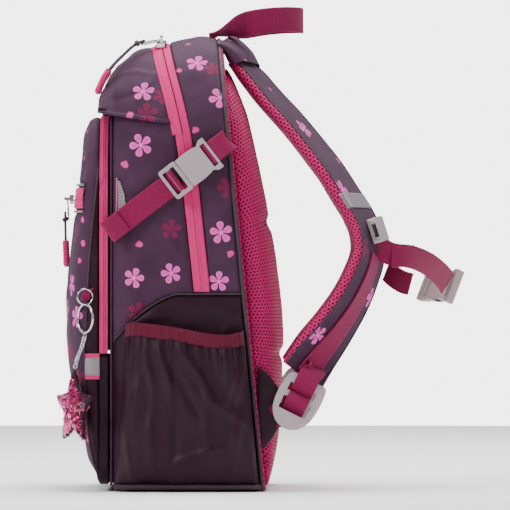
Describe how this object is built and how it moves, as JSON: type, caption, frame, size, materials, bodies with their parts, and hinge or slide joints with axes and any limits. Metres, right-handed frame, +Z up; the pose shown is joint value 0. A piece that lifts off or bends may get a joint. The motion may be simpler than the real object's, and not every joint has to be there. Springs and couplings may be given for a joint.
{
  "type": "school backpack",
  "caption": "child-size school backpack with zipped main and front pockets, stretch side pockets, padded back and straps, side buckles, chest strap and a star charm",
  "frame": {"origin": "middle of the flat base, on the surface that the bag stands on", "axes": "+Z up, -Y is the front with the pockets, +Y is the back that the wearer leans on, +X is the wearer's right"},
  "size_m": [0.3054, 0.3596, 0.4121],
  "materials": {
    "print_fabric": "plain woven polyester in muted violet, printed with small pink and crimson five-petal flowers",
    "wine_fabric": "closely woven wine-red polyester with a soft sheen",
    "pink_webbing": "ribbed polyester webbing, hot pink",
    "pink_mesh": "three-layer air mesh with round holes, hot pink",
    "grey_plastic": "moulded acetal, light warm grey, fine satin",
    "stiffener": "thin plastic sheet",
    "zip_tape": "reversed coil zip tape, hot pink",
    "chrome": "bright nickel plate",
    "elastic": "woven elastic binding, crimson",
    "grip_rubber": "ribbed soft rubber, hot pink",
    "cord": "braided polyester cord, near black",
    "sequin": "overlapping round sequins, pink and dark magenta"
  },
  "bodies": {
    "bag": {"rear_side_right": "print_fabric", "rear_side_left": "print_fabric", "front_gusset_right": "print_fabric", "front_gusset_left": "print_fabric", "top_panel": "print_fabric", "front_panel": "print_fabric", "front_pocket": "print_fabric", "base_panel": "wine_fabric", "lower_side_right": "wine_fabric", "lower_side_left": "wine_fabric", "side_pocket_right": "wine_fabric", "side_pocket_left": "wine_fabric", "wing_right": "wine_fabric", "wing_left": "wine_fabric", "front_pocket_gusset": "wine_fabric", "compression_strap_front_right": "pink_webbing", "compression_strap_front_left": "pink_webbing", "compression_strap_rear_right": "pink_webbing", "compression_strap_rear_left": "pink_webbing", "back_pad": "pink_mesh", "back_wall": "pink_mesh", "buckle_socket_right": "grey_plastic", "buckle_socket_left": "grey_plastic", "back_stiffener": "stiffener", "main_zip": "zip_tape", "front_pocket_zip": "zip_tape", "small_pocket_zip": "zip_tape", "side_pocket_elastic_right": "elastic", "side_pocket_elastic_left": "elastic"},
    "lid_body": {"lid": "print_fabric", "main_zip_lid": "zip_tape"},
    "main_slider": {"main_zip_slider": "chrome"},
    "main_pull": {"main_zip_puller": "chrome", "main_zip_pull_cord": "cord", "main_zip_pull_grip": "grip_rubber"},
    "small_slider": {"small_pocket_slider": "chrome"},
    "small_pull": {"small_pocket_puller": "chrome", "small_pocket_pull_cord": "cord", "small_pocket_pull_grip": "grip_rubber"},
    "front_slider": {"front_pocket_slider": "chrome"},
    "front_pull": {"front_pocket_puller": "chrome", "front_pocket_pull_grip": "grip_rubber"},
    "handle": {"carry_handle": "pink_webbing"},
    "strap_right": {"shoulder_strap_right": "print_fabric", "strap_webbing_right": "pink_webbing"},
    "strap_left": {"shoulder_strap_left": "print_fabric", "strap_webbing_left": "pink_webbing"},
    "chest_strap": {"chest_slider_right": "grey_plastic", "chest_slider_left": "grey_plastic", "chest_webbing_right": "pink_webbing", "chest_webbing_left": "pink_webbing", "chest_socket": "grey_plastic"},
    "chest_plug_half": {"chest_plug": "grey_plastic"},
    "plug_right": {"buckle_plug_right": "grey_plastic"},
    "plug_left": {"buckle_plug_left": "grey_plastic"},
    "lock_right": {"ladder_lock_right": "grey_plastic"},
    "lock_left": {"ladder_lock_left": "grey_plastic"},
    "charm_ring": {"key_ring": "chrome"},
    "charm": {"charm_chain": "chrome", "star_charm": "sequin"}
  },
  "joints": [
    {"name": "lid_open", "type": "hinge", "parent": "bag", "child": "lid_body", "pos_m": [0, -0.07, 0.3285], "axis": [1, 0, 0], "range_deg": [0, 55]},
    {"name": "main_slider_travel", "type": "hinge", "parent": "lid_body", "child": "main_slider", "pos_m": [0.037, -0.021, 0.29217], "axis": [0, 0.9703, 0.2419], "range_deg": [-14, 4]},
    {"name": "main_pull_swing", "type": "hinge", "parent": "main_slider", "child": "main_pull", "pos_m": [0.06342, -0.02105, 0.39079], "axis": [-0.9659, 0, 0.2588], "range_deg": [0, 45]},
    {"name": "small_slider_travel", "type": "slide", "parent": "bag", "child": "small_slider", "axis": [1, 0, 0], "range_m": [-0.06, 0.024]},
    {"name": "small_pull_swing", "type": "hinge", "parent": "small_slider", "child": "small_pull", "pos_m": [0.018, -0.10364, 0.253], "axis": [-1, 0, 0], "range_deg": [0, 33]},
    {"name": "front_slider_travel", "type": "slide", "parent": "bag", "child": "front_slider", "axis": [0, 0, -1], "range_m": [0, 0.06]},
    {"name": "front_pull_swing", "type": "hinge", "parent": "front_slider", "child": "front_pull", "pos_m": [-0.1248, -0.0726, 0.2], "axis": [0, 1, 0], "range_deg": [0, 33]},
    {"name": "handle_swing", "type": "hinge", "parent": "bag", "child": "handle", "pos_m": [0, 0.027, 0.394], "axis": [1, 0, 0], "range_deg": [0, 80]},
    {"name": "strap_right_swing", "type": "hinge", "parent": "bag", "child": "strap_right", "pos_m": [0, 0.044, 0.374], "axis": [1, 0, 0], "range_deg": [0, 6]},
    {"name": "strap_left_swing", "type": "hinge", "parent": "bag", "child": "strap_left", "pos_m": [0, 0.044, 0.374], "axis": [1, 0, 0], "range_deg": [0, 6]},
    {"name": "chest_strap_height", "type": "slide", "parent": "strap_right", "child": "chest_strap", "axis": [0, -0.3011, 0.9536], "range_m": [-0.008, 0.008]},
    {"name": "chest_plug_release", "type": "slide", "parent": "chest_strap", "child": "chest_plug_half", "axis": [-0.8336, -0.5523, 0.0126], "range_m": [0, 0.019]},
    {"name": "plug_right_release", "type": "slide", "parent": "bag", "child": "plug_right", "axis": [0, -0.7934, -0.6088], "range_m": [0, 0.024]},
    {"name": "plug_left_release", "type": "slide", "parent": "bag", "child": "plug_left", "axis": [0, -0.7934, -0.6088], "range_m": [0, 0.024]},
    {"name": "lock_right_tilt", "type": "hinge", "parent": "bag", "child": "lock_right", "pos_m": [0.131, 0.1058, 0.0966], "axis": [0, -0.8949, 0.4462], "range_deg": [0, 30]},
    {"name": "lock_left_tilt", "type": "hinge", "parent": "bag", "child": "lock_left", "pos_m": [-0.131, 0.1058, 0.0966], "axis": [0, 0.8949, -0.4462], "range_deg": [0, 30]},
    {"name": "ring_swing", "type": "hinge", "parent": "bag", "child": "charm_ring", "pos_m": [0.1248, -0.086, 0.1614], "axis": [-1, 0, 0], "range_deg": [0, 45]},
    {"name": "charm_swing", "type": "hinge", "parent": "charm_ring", "child": "charm", "pos_m": [0.1248, -0.086, 0.1364], "axis": [-1, 0, 0], "range_deg": [0, 23]}
  ],
  "couplings": [
    {"joint": "strap_left_swing", "follows": "strap_right_swing", "ratio": 1}
  ]
}
